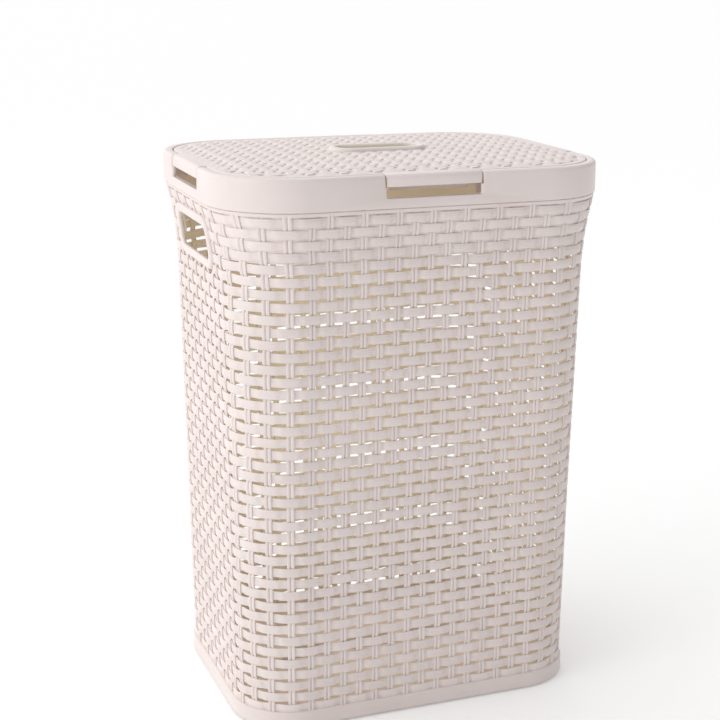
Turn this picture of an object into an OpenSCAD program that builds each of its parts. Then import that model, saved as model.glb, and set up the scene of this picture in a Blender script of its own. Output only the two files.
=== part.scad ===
// Laundry hamper with a hinged lid, moulded in plastic with a rattan-look weave.
// The origin is on the floor under the middle of the basket. The front faces -Y and +Z is up.

/* [Overall size] */
// Width over the collar, side to side
body_w = 448; // [400:1:480]
// Depth over the collar, front to back
body_d = 348; // [320:1:380]
// Height of the collar's top edge above the floor
rim_h = 615; // [540:1:660]
// Corner radius of the collar in plan
corner_r = 90; // [80:1:96]

/* [Basket] */
// Thickness of the woven wall
wall_t = 3; // [2.5:0.1:3.5]
// Inward step from the collar's face to the top of the woven wall
wall_step = 4; // [4:0.1:5]
// Inward sweep of the flare below the collar, on each side
flare_w = 9.8; // [6:0.1:12]
// Height of the flare
flare_h = 60; // [50:1:80]
// Inward lean of the wall below the flare, on each side, from the flare to the base band
lean = 9; // [4:0.5:12]
// How much further out the front and back walls stand than the sides, at the top of the flare
spread = 6; // [0:0.5:7]
// Height of the smooth base band
band_h = 16.3; // [12:0.1:24]
// Thickness of the base band
band_t = 5; // [4:0.5:6]
// Thickness of the floor plate
floor_t = 3; // [2:0.5:4]
// Clearance under the base band, made by the feet
foot_h = 3; // [2:0.5:5]
// Radius of each foot
foot_r = 8; // [6:0.5:10]

/* [Side handles] */
// Width of each handle opening
handle_w = 116; // [100:1:124]
// Height of each handle opening
handle_h = 37.5; // [28:0.5:38]
// Distance from the collar's top edge down to the handle opening
handle_drop = 63.5; // [60:0.5:66]
// Corner radius of the handle opening
handle_r = 9; // [6:0.5:12]
// Width of the smooth frame round the handle opening
frame_w = 10; // [7:0.5:11]
// How far the handle frame stands out from the wall
frame_out = 2.5; // [1.5:0.5:3.5]

/* [Collar] */
// Height of the collar
collar_h = 35; // [32:0.5:40]
// Thickness of the collar's skin
collar_t = 3; // [2.5:0.1:3.2]
// Radius of the collar's top outer edge
collar_round = 4; // [3.5:0.5:5]
// Width of the collar's top flange
flange_w = 10; // [9.5:0.5:12]
// Width of the ledge that the lid rests on
ledge_w = 8; // [6:0.5:9]
// Distance from the collar's top edge down to the ledge
ledge_drop = 9; // [8.5:0.5:10]
// Width of the notch in each side of the collar
notch_w = 111; // [100:1:116]
// Depth of each notch
notch_h = 24.5; // [22:0.5:26]
// Width of the solid cheek at each end of a notch
cheek_w = 9; // [8:0.5:10]

/* [Lid] */
// Height of the lid's flat border above the collar's top edge
lid_proud = 0.5; // [0:0.1:1]
// Gap between the lid and the collar at the front and sides
lid_gap = 1; // [0.8:0.1:1.5]
// Gap between the lid and the collar at the back, where the lid swings
lid_gap_back = 5; // [4.5:0.5:6]
// Width of the lid's smooth border
border_w = 8; // [6:0.5:10]
// Thickness of the lid
lid_t = 2.5; // [2:0.1:3]
// Height of the lid's dome
dome_h = 4.5; // [3:0.1:6]
// Gap left under the lid's turned-down edge
rest_gap = 0.3; // [0.2:0.1:0.5]
// Gap at each end of a tongue in its notch
tongue_gap = 2; // [1.5:0.5:3]
// Drop of each tongue below the collar's top edge
tongue_drop = 12.5; // [11:0.5:14]
// Radius of the tongue's outer top edge
tongue_round = 5; // [4:0.5:6]
// Width of the stop rib under the lid behind each tongue
rib_w = 88; // [80:1:94]
// Drop of each stop rib below the collar's top edge
rib_drop = 17.2; // [17:0.5:20]
// Length of the grip ring in the lid
grip_l = 118; // [100:1:130]
// Width of the grip ring
grip_w = 50; // [44:1:60]
// Width of the grip ring's band
grip_band = 9; // [7:0.5:10]
// Height of the grip ring above the dome
grip_h = 4; // [3:0.5:6]
// Depth of the grip ring's sleeve below the dome
grip_sleeve_h = 7; // [6:0.5:10]

/* [Hinge] */
// Radius of the hinge rod
rod_r = 2.5; // [2:0.1:2.8]
// Radial running clearance of the knuckles on the rod
rod_clear = 0.05; // [0.03:0.01:0.1]
// Outer radius of each hinge knuckle
knuckle_r = 5; // [4.8:0.1:5.2]
// Length of each hinge knuckle
knuckle_l = 24; // [16:1:30]
// Distance from the middle of the lid to the middle of each knuckle
knuckle_x = 35; // [30:1:38]
// How far the rod goes into each cheek
rod_seat = 7; // [5:0.5:7.5]

/* [Hidden] */

curve_fn = 96;
hull_fn = 64;
eps = 0.01;
far = 60;
ivory = [0.86, 0.80, 0.78];
ivory_light = [0.90, 0.85, 0.82];

// Heights
sleeve_h = 22;
floor_drop = 5;
collar_z = rim_h - collar_h;
ledge_z = rim_h - ledge_drop;
ledge_t = 2.5;
band_z = foot_h;
wall_z = band_z + band_h;
flare_z = collar_z - flare_h;
flare_mid_z = collar_z - flare_h / 2;
join_drop = 16;
join_z = flare_z - join_drop;
sleeve_top_z = collar_z + sleeve_h;
floor_z = band_z + floor_drop;
notch_z = rim_h - notch_h;
handle_z = rim_h - handle_drop - handle_h / 2;
lid_z = rim_h + lid_proud;
hinge_z = rim_h - knuckle_r;

// Distances in from the collar's outer face; the flare has taken 3/4 of its sweep halfway down
flare_share = 0.75;
band_proud = 2;
inset_top = wall_step;
top_spread = min(spread, wall_step - 1.5);
inset_mid = wall_step + flare_share * flare_w;
inset_flare = wall_step + flare_w;
inset_wall = inset_flare + lean;
inset_join = inset_flare + lean * join_drop / (flare_z - wall_z);
inset_band = inset_wall - band_proud;
sleeve_inset = collar_t;
lid_inset = flange_w + lid_gap;

// The lid's own plan: its back edge stands further from the collar than the rest
lid_w = body_w - 2 * lid_inset;
lid_d = body_d - 2 * flange_w - lid_gap - lid_gap_back;
lid_r = corner_r - lid_inset;
lid_y = (lid_gap - lid_gap_back) / 2;
lid_edge_h = lid_z - ledge_z - rest_gap;
panel_w = lid_w - 2 * border_w;
panel_d = lid_d - 2 * border_w;
panel_r = lid_r - border_w;
panel_top = lid_z + dome_h;
panel_skin = lid_t - 0.3;
panel_lip = 2;

hinge_in = 6;
hinge_y = body_d / 2 - hinge_in;
tongue_w = notch_w - 2 * tongue_gap;
tongue_out = 0.4;

// A rounded rectangle with true arcs
module plan(w, d, r) {
    square([w - 2 * r, d], center = true);
    square([w, d - 2 * r], center = true);
    for (sx = [-1, 1], sy = [-1, 1])
        translate([sx * (w / 2 - r), sy * (d / 2 - r)]) circle(r, $fn = curve_fn);
}

// The collar's plan, moved in by a distance all round
module plan_in(inset) {
    plan(body_w - 2 * inset, body_d - 2 * inset, corner_r - inset);
}

// A section swept round a rounded rectangle; x = 0 in the section is the rectangle's edge
module sweep(w, d, r) {
    for (i = [0 : 3])
        translate([(i == 0 || i == 3 ? 1 : -1) * (w / 2 - r), (i < 2 ? 1 : -1) * (d / 2 - r), 0])
            rotate([0, 0, 90 * i])
                rotate_extrude(angle = 90, $fn = curve_fn)
                    translate([r, 0]) children();
    for (turn = [0, 180]) {
        rotate([0, 0, turn])
            translate([w / 2, d / 2 - r, 0]) rotate([90, 0, 0]) linear_extrude(d - 2 * r) children();
        rotate([0, 0, turn + 90])
            translate([d / 2, w / 2 - r, 0]) rotate([90, 0, 0]) linear_extrude(w - 2 * r) children();
    }
}

// A thin slab of the collar's plan, moved in, at a height; the front and back stand out by out_y
module slab(inset, z, out_y) {
    translate([0, 0, z]) linear_extrude(eps)
        hull() {
            r = corner_r - inset;
            for (sx = [-1, 1], sy = [-1, 1])
                translate([sx * (body_w / 2 - corner_r), sy * (body_d / 2 - corner_r + out_y)])
                    circle(r, $fn = hull_fn);
        }
}

// The lower wall's outer form, or its inner form when shrunk by the wall's thickness
module lower_form(t) {
    hull() {
        slab(inset_wall + t, wall_z, 0);
        slab(inset_join + t, join_z - eps, spread);
    }
}

// The upper wall's outer form, with the flare and the sleeve inside the collar
module upper_form(t) {
    steps = [[inset_join, join_z, spread], [inset_flare, flare_z, spread],
        [inset_mid, flare_mid_z, spread], [inset_top, collar_z - eps, top_spread],
        [sleeve_inset, collar_z, 0], [sleeve_inset, sleeve_top_z, 0]];
    for (i = [0, 1, 2, 4])
        hull() {
            slab(steps[i][0] + t, steps[i][1], steps[i][2]);
            slab(steps[i + 1][0] + t, steps[i + 1][1], steps[i + 1][2]);
        }
}

// An upright rounded slot, run through along X
module side_slot(w, h, r, length) {
    rotate([90, 0, 90]) translate([0, 0, -length / 2]) linear_extrude(length) {
        square([w - 2 * r, h], center = true);
        square([w, h - 2 * r], center = true);
        for (sx = [-1, 1], sy = [-1, 1])
            translate([sx * (w / 2 - r), sy * (h / 2 - r)]) circle(r, $fn = curve_fn);
    }
}

// The four notches, cut down from the top of the collar through everything at the rim
module notches() {
    past_ledge = 4;
    depth = flange_w + ledge_w + past_ledge;
    for (turn = [0, 180]) {
        rotate([0, 0, turn]) translate([-notch_w / 2, body_d / 2 - depth, notch_z])
            cube([notch_w, depth + far, far]);
        rotate([0, 0, turn]) translate([body_w / 2 - depth, -notch_w / 2, notch_z])
            cube([depth + far, notch_w, far]);
    }
}

module basket_wall() {
    color(ivory) difference() {
        lower_form(0);
        translate([0, 0, -eps]) lower_form(wall_t);
        end_opening(inset_wall, wall_z, 0);
        end_opening(inset_join, join_z, spread);
    }
}

module upper_wall() {
    color(ivory) difference() {
        upper_form(0);
        translate([0, 0, -eps]) upper_form(wall_t);
        end_opening(inset_join, join_z, spread);
        end_opening(sleeve_inset, sleeve_top_z, 0);
        translate([0, 0, handle_z]) side_slot(handle_w, handle_h, handle_r, body_w + far);
        notches();
    }
}

// Opens the inner form at an end of the wall
module end_opening(inset, z, out_y) {
    reach = 1;
    in = inset + wall_t;
    translate([0, 0, z - reach]) linear_extrude(2 * reach)
        plan(body_w - 2 * in, body_d - 2 * in + 2 * out_y, corner_r - in);
}

module base_band() {
    w = body_w - 2 * inset_band;
    d = body_d - 2 * inset_band;
    round_r = 2;
    color(ivory) sweep(w, d, corner_r - inset_band)
        difference() {
            translate([-band_t, band_z]) square([band_t, band_h]);
            translate([-round_r, band_z + band_h - round_r]) difference() {
                square(round_r + 1);
                circle(round_r, $fn = curve_fn);
            }
        }
}

module basket_floor() {
    slot_l = 70;
    slot_w = 6;
    pitch_x = 90;
    pitch_y = 24;
    color(ivory_light) translate([0, 0, floor_z]) difference() {
        linear_extrude(floor_t) plan_in(inset_band + band_t);
        for (i = [-1 : 1], j = [-4 : 4])
            translate([i * pitch_x - slot_l / 2, j * pitch_y - slot_w / 2, -1])
                cube([slot_l, slot_w, floor_t + 2]);
    }
}

module foot(sx, sy) {
    foot_in = 32;
    foot_x = body_w / 2 - inset_band - foot_in;
    foot_y = body_d / 2 - inset_band - foot_in;
    color(ivory_light) translate([sx * foot_x, sy * foot_y, 0])
        cylinder(h = floor_z, r = foot_r, $fn = curve_fn);
}

module foot_front_left() {
    foot(-1, -1);
}

module foot_front_right() {
    foot(1, -1);
}

module foot_rear_left() {
    foot(-1, 1);
}

module foot_rear_right() {
    foot(1, 1);
}

// The collar's section: skin, top flange, inner wall and the ledge for the lid
module collar_section() {
    inner_t = 2.5;
    difference() {
        union() {
            translate([-collar_t, collar_z]) square([collar_t, collar_h]);
            translate([-flange_w, rim_h - collar_t]) square([flange_w, collar_t]);
            translate([-flange_w, ledge_z - ledge_t]) square([inner_t, ledge_drop + ledge_t]);
            translate([-flange_w - ledge_w, ledge_z - ledge_t])
                square([ledge_w + inner_t, ledge_t]);
        }
        translate([-collar_round, rim_h - collar_round]) difference() {
            square(collar_round + 1);
            circle(collar_round, $fn = curve_fn);
        }
    }
}

module collar() {
    color(ivory) difference() {
        union() {
            sweep(body_w, body_d, corner_r) collar_section();
            collar_cheeks();
        }
        notches();
        translate([-notch_w / 2 - rod_seat, hinge_y, hinge_z])
            rotate([0, 90, 0]) cylinder(h = notch_w + 2 * rod_seat, r = rod_r, $fn = curve_fn);
    }
}

// Cheeks at the ends of the four notches; those beside the sleeve stop above it
module collar_cheeks() {
    gap = 0.5;
    skin_in = 1;
    low = sleeve_top_z + gap;
    for (side = [[body_w, 0], [body_d, 90], [body_w, 180], [body_d, 270]], s = [-1, 1])
        rotate([0, 0, side[1]])
            translate([side[0] / 2 - flange_w, s * (notch_w + cheek_w) / 2 - cheek_w / 2, low])
                cube([flange_w - skin_in, cheek_w, rim_h - low - skin_in]);
}

// The smooth frame round a handle opening, drawn for the side that faces +X
module handle_frame() {
    face = body_w / 2;
    levels = [[flare_z - far, inset_flare + far * lean / (flare_z - wall_z)],
        [flare_z, inset_flare], [flare_mid_z, inset_mid], [collar_z, inset_top]];
    outer_line = [for (p = levels) [face - p[1] + frame_out, p[0]]];
    inner_line = [for (i = [3 : -1 : 0]) [face - levels[i][1], levels[i][0]]];
    intersection() {
        rotate([90, 0, 0]) translate([0, 0, -handle_w])
            linear_extrude(2 * handle_w) polygon(concat(outer_line, inner_line));
        translate([face, 0, handle_z]) difference() {
            side_slot(handle_w + 2 * frame_w, handle_h + 2 * frame_w, handle_r + frame_w, far);
            side_slot(handle_w, handle_h, handle_r, far + 2);
        }
    }
}

module handle_frame_right() {
    color(ivory_light) handle_frame();
}

module handle_frame_left() {
    color(ivory_light) mirror([1, 0, 0]) handle_frame();
}

module hinge_rod() {
    length = notch_w + 2 * rod_seat;
    color(ivory_light) translate([-length / 2, hinge_y, hinge_z])
        rotate([0, 90, 0]) cylinder(h = length, r = rod_r, $fn = curve_fn);
}

// The lid's domed form, or the hollow under it when lowered and drawn in
module dome(drop, draw_in) {
    levels = [[14, 0.45], [45, 0.85], [100, 1]];
    slab_t = 1;
    translate([0, lid_y, lid_z - drop]) hull() {
        translate([0, 0, -lid_t]) dome_slab(draw_in, lid_t);
        for (p = levels)
            translate([0, 0, p[1] * dome_h - slab_t]) dome_slab(p[0] + draw_in, slab_t);
    }
}

// A slab of the lid panel's plan, moved in
module dome_slab(inset, t) {
    least_r = 20;
    r = max(panel_r - inset, least_r);
    linear_extrude(t) hull()
        for (sx = [-1, 1], sy = [-1, 1])
            translate([sx * (panel_w / 2 - inset - r), sy * (panel_d / 2 - inset - r)])
                circle(r, $fn = hull_fn);
}

// A long slot with round ends, upright, used by the grip ring and the lid
module stadium(l, w) {
    square([l - w, w], center = true);
    for (s = [-1, 1]) translate([s * (l - w) / 2, 0]) circle(w / 2, $fn = curve_fn);
}

module lid_panel() {
    color(ivory) difference() {
        dome(0, 0);
        dome(panel_skin, panel_lip);
        translate([0, lid_y, lid_z - far / 2]) linear_extrude(far)
            stadium(grip_l - grip_band, grip_w - grip_band);
    }
}

module lid_border() {
    edge_t = 2.5;
    round_r = 2;
    color(ivory) union() {
        translate([0, lid_y, 0]) sweep(lid_w, lid_d, lid_r) difference() {
            union() {
                translate([-border_w, lid_z - lid_t]) square([border_w, lid_t]);
                translate([-edge_t, lid_z - lid_edge_h]) square([edge_t, lid_edge_h]);
            }
            translate([-round_r, lid_z - round_r]) difference() {
                square(round_r + 1);
                circle(round_r, $fn = curve_fn);
            }
        }
        stop_rib(lid_w / 2, 0);
        stop_rib(lid_w / 2, 180);
        stop_rib(lid_d / 2 - lid_y, 270);
    }
}

// A short rib under the lid's border, behind a tongue; it hangs inside the notch
module stop_rib(edge, turn) {
    rib_t = 2.2;
    rib_in = 0.4;
    rotate([0, 0, turn])
        translate([edge - border_w + rib_in, -rib_w / 2, rim_h - rib_drop])
            cube([rib_t, rib_w, rib_drop + lid_proud - lid_t / 2]);
}

// The ring's top band stands on the dome; its sleeve lines the slot through the lid
module grip_ring() {
    sleeve_t = grip_band / 2;
    color(ivory_light) translate([0, lid_y, 0]) difference() {
        union() {
            translate([0, 0, panel_top]) linear_extrude(grip_h) stadium(grip_l, grip_w);
            translate([0, 0, panel_top - grip_sleeve_h]) linear_extrude(grip_sleeve_h + grip_h)
                stadium(grip_l - 2 * sleeve_t, grip_w - 2 * sleeve_t);
        }
        translate([0, 0, panel_top - far / 2]) linear_extrude(far)
            stadium(grip_l - 2 * grip_band, grip_w - 2 * grip_band);
    }
}

// A tongue's section, from the lid's edge at x = 0 out to the collar's face and down
module tongue_section(reach) {
    t = 2.6;
    drop = tongue_drop + lid_proud;
    difference() {
        union() {
            translate([0, lid_z - t]) square([reach, t]);
            translate([reach - t, lid_z - drop]) square([t, drop]);
            translate([reach - tongue_round, lid_z - tongue_round])
                square(tongue_round);
        }
        translate([reach - tongue_round, lid_z - tongue_round]) difference() {
            square(tongue_round + 1);
            circle(tongue_round, $fn = curve_fn);
        }
    }
}

// A tongue on the side that faces +X after a turn; reach runs from the lid's edge to the face
module tongue(edge, reach, turn) {
    rotate([0, 0, turn]) translate([edge, tongue_w / 2, 0])
        rotate([90, 0, 0]) linear_extrude(tongue_w) tongue_section(reach);
}

module right_tongue() {
    color(ivory_light) tongue(lid_w / 2, lid_inset - tongue_out, 0);
}

module left_tongue() {
    color(ivory_light) tongue(lid_w / 2, lid_inset - tongue_out, 180);
}

module front_tongue() {
    color(ivory_light) tongue(lid_d / 2 - lid_y, lid_inset - tongue_out, 270);
}

module hinge_tongue() {
    rod_gap = 1;
    reach = body_d / 2 - tongue_out - (lid_d / 2 + lid_y);
    color(ivory_light) difference() {
        tongue(lid_d / 2 + lid_y, reach, 90);
        for (s = [-1, 1]) knuckle_blank(s, knuckle_r, knuckle_l);
        knuckle_blank(0, rod_r + rod_gap, 2 * body_w);
    }
}

module knuckle_blank(side, r, length) {
    translate([side * knuckle_x - length / 2, hinge_y, hinge_z])
        rotate([0, 90, 0]) cylinder(h = length, r = r, $fn = curve_fn);
}

module knuckle(side) {
    color(ivory_light) difference() {
        knuckle_blank(side, knuckle_r, knuckle_l);
        knuckle_blank(side, rod_r + rod_clear, knuckle_l + 2);
    }
}

module knuckle_left() {
    knuckle(-1);
}

module knuckle_right() {
    knuckle(1);
}

basket_wall();
upper_wall();
basket_floor();
base_band();
foot_front_left();
foot_front_right();
foot_rear_left();
foot_rear_right();
collar();
handle_frame_left();
handle_frame_right();
hinge_rod();
lid_panel();
lid_border();
grip_ring();
front_tongue();
left_tongue();
right_tongue();
hinge_tongue();
knuckle_left();
knuckle_right();
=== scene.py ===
"""Looks of the laundry hamper: woven shell, smooth mouldings, woven lid, stage and camera."""
import math

import bmesh
import bpy
import numpy as np
from mathutils import Matrix, Vector


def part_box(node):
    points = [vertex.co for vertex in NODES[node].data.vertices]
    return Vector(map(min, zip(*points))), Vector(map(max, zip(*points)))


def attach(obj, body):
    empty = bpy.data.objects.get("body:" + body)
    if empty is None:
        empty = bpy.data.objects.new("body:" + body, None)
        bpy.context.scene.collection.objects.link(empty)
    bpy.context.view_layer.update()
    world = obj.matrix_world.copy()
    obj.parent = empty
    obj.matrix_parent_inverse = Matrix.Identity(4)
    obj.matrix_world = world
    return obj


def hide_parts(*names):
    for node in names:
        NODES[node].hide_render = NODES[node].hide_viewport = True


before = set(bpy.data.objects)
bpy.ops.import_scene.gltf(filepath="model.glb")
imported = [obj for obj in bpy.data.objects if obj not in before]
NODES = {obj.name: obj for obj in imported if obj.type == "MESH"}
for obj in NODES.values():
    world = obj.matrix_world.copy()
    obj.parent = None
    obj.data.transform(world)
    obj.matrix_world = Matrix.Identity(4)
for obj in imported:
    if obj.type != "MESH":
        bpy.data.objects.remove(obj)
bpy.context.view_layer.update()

MM = 0.001

# ---------------------------------------------------------------- sizes, from the frame
COLLAR_LO, COLLAR_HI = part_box("collar")
WALL_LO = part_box("basket_wall")[0]
PANEL_LO, PANEL_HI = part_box("lid_panel")
BORDER_LO, BORDER_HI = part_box("lid_border")
RING_LO, RING_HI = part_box("grip_ring")
FRAME_LO, FRAME_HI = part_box("handle_frame_right")
TONGUE_LO, TONGUE_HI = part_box("front_tongue")
HALF_W = COLLAR_HI.x
HALF_D = COLLAR_HI.y
RIM_Z = COLLAR_HI.z
COLLAR_Z = COLLAR_LO.z
WALL_Z = WALL_LO.z
LID_Z = BORDER_HI.z
LID_Y = (BORDER_LO.y + BORDER_HI.y) / 2

# plan of the collar, and how far in the wall is: a step, a flare below it, then a lean
CORNER_R = 90 * MM
STRAIGHT_X = HALF_W - CORNER_R
STRAIGHT_Y = HALF_D - CORNER_R
WALL_STEP = 4 * MM
FLARE_IN = 9.8 * MM
FLARE_H = 60 * MM
LEAN = 9 * MM

# the front and back walls stand further out than the sides, more so towards the top
SPREAD = 6.3 * MM
SPREAD_Z = 225 * MM
# the side walls stand out a little round the handles
SIDE_SPREAD = 3.2 * MM
SIDE_SPREAD_Z = 500 * MM
SIDE_SPREAD_H = 45 * MM
# with either spread, the wall stays at least this far in from the collar's face
LEAST_IN = 1.6 * MM

# weave of the wall: rows are counted from the top, and posts from the middle of the front
STRIP_Z = COLLAR_Z - 4.9 * MM
CLOSED_ROWS = 4
OPEN_ROWS = 38
CLOSED_PITCH = 12.17 * MM
OPEN_PITCH = 13.42 * MM
ROWS = CLOSED_ROWS + OPEN_ROWS
FRONT_PITCH = 18.75 * MM
FRONT_POSTS = 7
SIDE_PITCH = 17.8 * MM
SIDE_POSTS = 5
# the gaps between posts round a corner, from the front to the side, as shares of each other
CORNER_SHARES = (1.04, 1.12, 1.06, 1.00, 0.78)
BAND_OPEN = 10.1 * MM
BAND_CLOSED = 9.8 * MM
BAND_T = 2.0 * MM
POST_W = 7.4 * MM
CORNER_POST_W = 9.0 * MM
POST_T = 2.2 * MM
# how far strands weave in and out, and how far their middle is in from the wall's face
RELIEF = 0.75 * MM
MID_IN = 1.9 * MM
WAVE_SHARP = 3.4
# mesh steps of a band between two posts, and of a post between two rows
BAND_STEPS = 12
POST_STEPS = 6
# pieces of the wall's rows: name, first row and last row
ROW_GROUPS = (("weave_rows_closed", 1, CLOSED_ROWS), ("weave_rows_upper", CLOSED_ROWS + 1, 17),
              ("weave_rows_middle", 18, 30), ("weave_rows_lower", 31, ROWS))

# weave of the lid
LID_POST_PITCH = 18.4 * MM
LID_ROW_PITCH = 10.7 * MM
LID_BAND = 10.4 * MM
LID_BAND_T = 2.0 * MM
LID_POST = 9.6 * MM
LID_POST_T = 2.2 * MM
LID_RELIEF = 0.56 * MM
LID_STEPS = 7

# panel of the lid, and the strip at its edge where it rolls up into the dome
PANEL_W = PANEL_HI.x - PANEL_LO.x
PANEL_D = PANEL_HI.y - PANEL_LO.y
PANEL_R = 71 * MM
DOME_H = PANEL_HI.z - LID_Z
ROLL_W = 32 * MM

# grip ring
RING_L = RING_HI.x - RING_LO.x - 3 * MM
RING_W = RING_HI.y - RING_LO.y - 4 * MM

# handle openings; the weave stops under their frames, a little way out from the opening
FRAME_W = 10 * MM
FRAME_COVER = 3 * MM
HANDLE_W = FRAME_HI.y - FRAME_LO.y - 2 * FRAME_W
HANDLE_H = FRAME_HI.z - FRAME_LO.z - 2 * FRAME_W
HANDLE_Z = (FRAME_HI.z + FRAME_LO.z) / 2
HANDLE_R = 9 * MM
OPENING_LOW = HANDLE_Z - HANDLE_H / 2 - FRAME_COVER
OPENING_HIGH = HANDLE_Z + HANDLE_H / 2 + FRAME_COVER

# notches and tongues
NOTCH_W = 111 * MM
NOTCH_Z = RIM_Z - 24.5 * MM
NOTCH_R = 4.5 * MM
TONGUE_W = TONGUE_HI.x - TONGUE_LO.x
TONGUE_Z = TONGUE_LO.z
TONGUE_T = 2.6 * MM
# the lid's edge at the sides and the front, and how far the tongues reach out from it
SIDE_EDGE = BORDER_HI.x
SIDE_REACH = HALF_W - 0.4 * MM - SIDE_EDGE
FRONT_EDGE = -BORDER_LO.y
FRONT_REACH = HALF_D - 0.4 * MM - FRONT_EDGE

# cutters are this long, which reaches right through the hamper
CUT_LENGTH = 0.7
# lengths shorter than this count as nothing
TINY = 1e-6
# a piece looks smooth across edges that bend by less than its angle, in degrees
SMOOTH_PLAIN = 35
SMOOTH_EDGED = 40
SMOOTH_WEAVE = 50
SMOOTH_ROUND = 60
# seeds of the strands' random lightness
WALL_SEED = 7
LID_SEED = 11

# ---------------------------------------------------------------- plan of the shell
# path lengths run once round from the middle of the front, and are measured at this radius
REF_R = CORNER_R - WALL_STEP - FLARE_IN
QUARTER = REF_R * math.pi / 2
LENGTH = 4 * STRAIGHT_X + 4 * STRAIGHT_Y + 4 * QUARTER
SIDE_MID = STRAIGHT_X + QUARTER + STRAIGHT_Y
CORNER_STEPS = 20


def inset_at(z):
    """Distance of the wall's outer face in from the collar's face, at height z."""
    z = np.asarray(z, float)
    t = np.clip((COLLAR_Z - z) / FLARE_H, 0, 1)
    flare = WALL_STEP + FLARE_IN * (1 - (1 - t) ** 2)
    low = np.clip((COLLAR_Z - FLARE_H - z) / (COLLAR_Z - FLARE_H - WALL_Z), 0, 1)
    return flare + LEAN * low


def spread_at(z):
    """How much further out the front and back walls stand than the sides, at height z."""
    z = np.asarray(z, float)
    rise = SPREAD * np.clip((z - SPREAD_Z) / (COLLAR_Z - FLARE_H - SPREAD_Z), 0, 1)
    return np.minimum(rise, inset_at(z) - LEAST_IN)


def side_spread_at(z):
    """How much the side walls stand out at height z."""
    z = np.asarray(z, float)
    rise = SIDE_SPREAD * np.clip((z - SIDE_SPREAD_Z) / SIDE_SPREAD_H, 0, 1)
    return np.minimum(rise, inset_at(z) - LEAST_IN)


def spread_out(x, y, z):
    """Moves points of the wall out, across the width and the depth, by the two spreads."""
    return (x * (1 + side_spread_at(z) / (HALF_W - inset_at(z))),
            y * (1 + spread_at(z) / (HALF_D - inset_at(z))))


def plan_point(s, inset):
    """Points on the plan moved in by inset, at path lengths s."""
    s, inset = np.broadcast_arrays(np.mod(s, LENGTH), inset)
    ends = np.cumsum([STRAIGHT_X, QUARTER, 2 * STRAIGHT_Y, QUARTER,
                      2 * STRAIGHT_X, QUARTER, 2 * STRAIGHT_Y, QUARTER])
    part = np.searchsorted(ends, s, side="right")
    start = np.concatenate([[0], ends])[part]
    t = s - start
    corner = part % 2 == 1
    turn = np.where(corner, (part - 1) / 2, part / 2) * (math.pi / 2)
    angle = np.where(corner, turn + t / REF_R, turn) - math.pi / 2
    out_x, out_y = np.cos(angle), np.sin(angle)
    # each part starts from the middle of the front or from a corner's centre
    base_x = np.array([0, 1, 1, 1, 1, -1, -1, -1, -1])[part] * STRAIGHT_X
    base_y = np.array([-1, -1, -1, 1, 1, 1, 1, -1, -1])[part] * STRAIGHT_Y
    run = np.where(corner, 0, t)
    r = CORNER_R - inset
    return base_x - out_y * run + out_x * r, base_y + out_x * run + out_y * r


def post_places():
    """Path lengths of all the posts: a quarter of them, mirrored to the back and the left."""
    front = [i * FRONT_PITCH for i in range(FRONT_POSTS + 1)]
    side = [SIDE_MID + i * SIDE_PITCH for i in range(-SIDE_POSTS, SIDE_POSTS + 1)]
    gap = (side[0] - front[-1]) / sum(CORNER_SHARES)
    corner = [front[-1] + gap * sum(CORNER_SHARES[:i]) for i in range(1, len(CORNER_SHARES))]
    quarter = front + corner + [s for s in side if s < SIDE_MID + TINY]
    half = quarter + [2 * SIDE_MID - s for s in reversed(quarter[:-1])]
    back = [LENGTH - s for s in reversed(half[1:-1])]
    return np.array(half + back)


POSTS = post_places()
POST_COUNT = len(POSTS)
# path lengths at each whole count of posts, with the first post again at the end
KNOTS = np.append(POSTS, LENGTH)
COUNTS = np.arange(POST_COUNT + 1)


def path_at(p):
    """Path length at a place counted in posts."""
    turns = np.floor(p / POST_COUNT)
    return np.interp(p - turns * POST_COUNT, COUNTS, KNOTS) + turns * LENGTH


def in_corner(s):
    """Whether the post at path length s stands in one of the four corners."""
    half = LENGTH / 2
    from_middle = min(s % half, half - s % half)
    front_end = FRONT_POSTS * FRONT_PITCH
    side_start = SIDE_MID - SIDE_POSTS * SIDE_PITCH
    return front_end + TINY < from_middle < side_start - TINY


def row_edge(n):
    """Height of the lower edge of row n, counted from the top; row_edge(0) is the top."""
    return STRIP_Z - min(n, CLOSED_ROWS) * CLOSED_PITCH - max(n - CLOSED_ROWS, 0) * OPEN_PITCH


def weave_wave(x):
    """The over and under of a strand, flattened at its crests."""
    return np.tanh(WAVE_SHARP * x) / math.tanh(WAVE_SHARP)


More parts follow.
